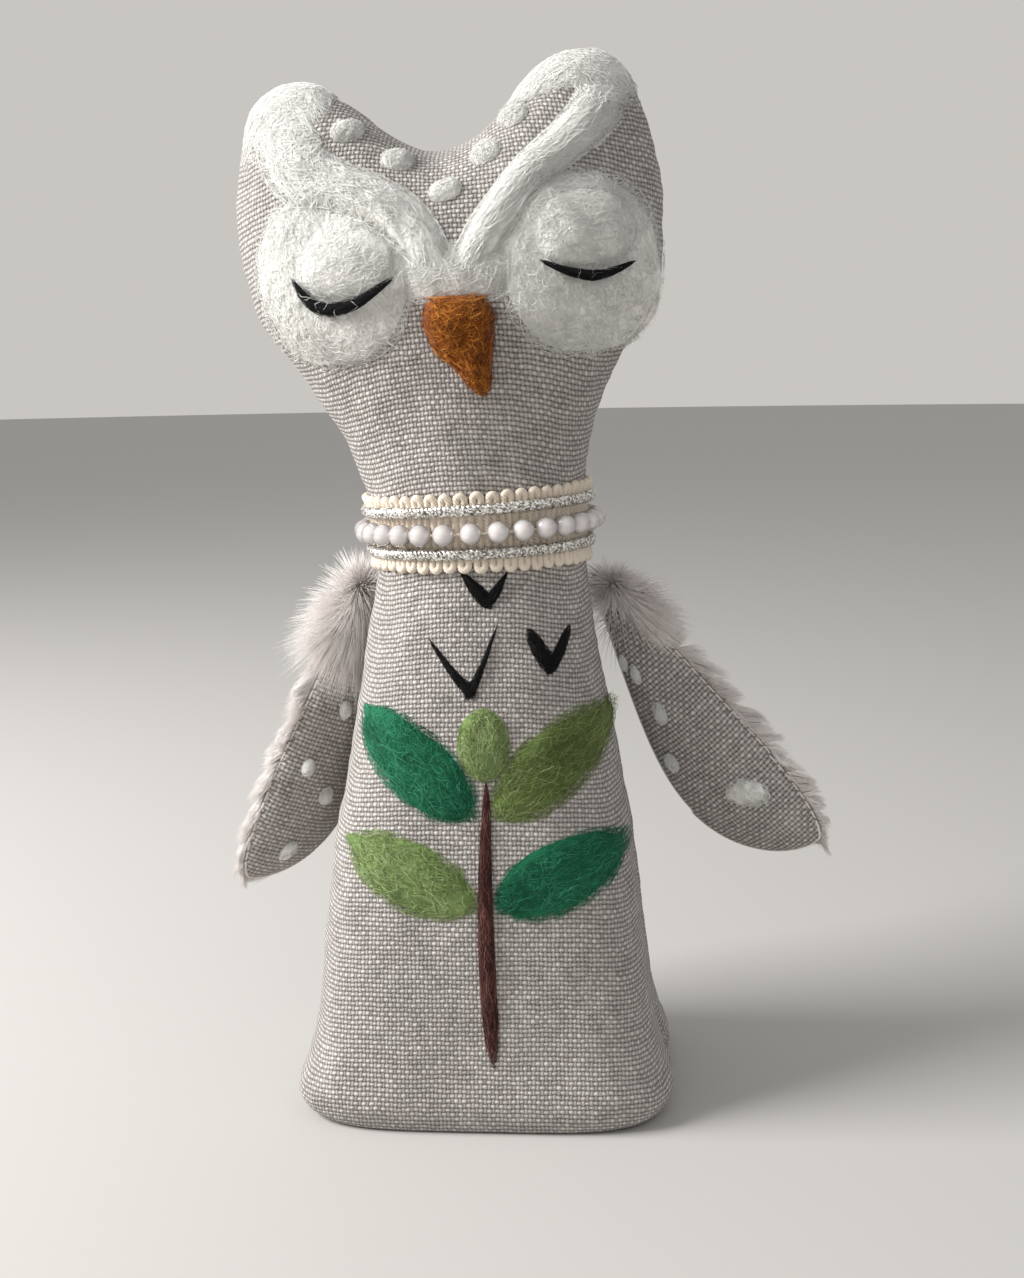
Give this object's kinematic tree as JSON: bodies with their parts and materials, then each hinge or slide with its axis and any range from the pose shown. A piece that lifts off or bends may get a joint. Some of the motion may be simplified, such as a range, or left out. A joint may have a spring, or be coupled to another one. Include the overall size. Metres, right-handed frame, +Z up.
{
  "type": "plush owl",
  "caption": "Slim stuffed linen owl with ears, felted closed-eye face, beaded collar, boxed base and hinged fur-backed wings.",
  "frame": {"origin": "middle of the flat base, on the surface that the owl stands on", "axes": "+Z up, the owl looks along -Y, +X to the viewer's right when it is seen from the front"},
  "size_m": [0.1385, 0.0615, 0.2263],
  "materials": {
    "linen": "coarse plain-woven linen, greige",
    "lining": "plain cotton base cloth",
    "fur": "short mauve-grey faux fur",
    "stuffing": "polyester fibre filling",
    "pellets": "cotton bag of pellets",
    "white_wool": "needle-felted wool",
    "black_wool": "needle-felted wool",
    "orange_wool": "needle-felted wool",
    "emerald_wool": "needle-felted wool",
    "olive_wool": "needle-felted wool",
    "leaf_wool": "needle-felted wool",
    "brown_wool": "needle-felted wool",
    "braid": "woven cotton trim with looped edges",
    "silver_thread": "metallised glitter cord",
    "pearl": "pearl lustre",
    "thread": "waxed sewing thread"
  },
  "bodies": {
    "owl_body": {"front_panel": "linen", "back_panel": "linen", "base_panel": "lining", "pellet_bag": "pellets", "body_stuffing": "stuffing", "head_stuffing": "stuffing", "collar_band": "braid", "upper_silver_cord": "silver_thread", "lower_silver_cord": "silver_thread", "left_eye_disc": "white_wool", "right_eye_disc": "white_wool", "left_brow": "white_wool", "right_brow": "white_wool", "left_lash": "black_wool", "right_lash": "black_wool", "beak": "orange_wool", "forehead_spot_1": "white_wool", "forehead_spot_2": "white_wool", "forehead_spot_3": "white_wool", "forehead_spot_4": "white_wool", "forehead_spot_5": "white_wool", "upper_chest_tick": "black_wool", "middle_chest_tick": "black_wool", "side_chest_tick": "black_wool", "sprig_stem": "brown_wool", "top_leaf": "leaf_wool", "upper_left_leaf": "emerald_wool", "upper_right_leaf": "olive_wool", "lower_left_leaf": "leaf_wool", "lower_right_leaf": "emerald_wool", "pearl_pair_01": "pearl", "pearl_pair_02": "pearl", "pearl_pair_03": "pearl", "pearl_pair_04": "pearl", "pearl_pair_05": "pearl", "pearl_pair_06": "pearl", "pearl_pair_07": "pearl", "pearl_pair_08": "pearl", "pearl_pair_09": "pearl", "pearl_pair_10": "pearl", "pearl_pair_11": "pearl", "pearl_pair_12": "pearl", "pearl_pair_13": "pearl", "pearl_pair_14": "pearl", "pearl_pair_15": "pearl"},
    "left_shank": {"left_wing_shank": "thread"},
    "left_wing": {"left_wing_linen": "linen", "left_wing_fur": "fur", "left_wing_stuffing": "stuffing"},
    "right_shank": {"right_wing_shank": "thread"},
    "right_wing": {"right_wing_linen": "linen", "right_wing_fur": "fur", "right_wing_stuffing": "stuffing"}
  },
  "joints": [
    {"name": "left_wing_swing", "type": "hinge", "parent": "owl_body", "child": "left_shank", "pos_m": [-0.02423, 0.00436, 0.11618], "axis": [0, 0, 1], "range_deg": [-10, 20]},
    {"name": "left_wing_lift", "type": "hinge", "parent": "left_shank", "child": "left_wing", "pos_m": [-0.02782, 0.00436, 0.11618], "axis": [0, 1, 0], "range_deg": [0, 75]},
    {"name": "right_wing_swing", "type": "hinge", "parent": "owl_body", "child": "right_shank", "pos_m": [0.02452, 0.00436, 0.11682], "axis": [0, 0, -1], "range_deg": [-10, 20]},
    {"name": "right_wing_lift", "type": "hinge", "parent": "right_shank", "child": "right_wing", "pos_m": [0.02812, 0.00436, 0.11682], "axis": [0, -1, 0], "range_deg": [-3, 58]}
  ]
}
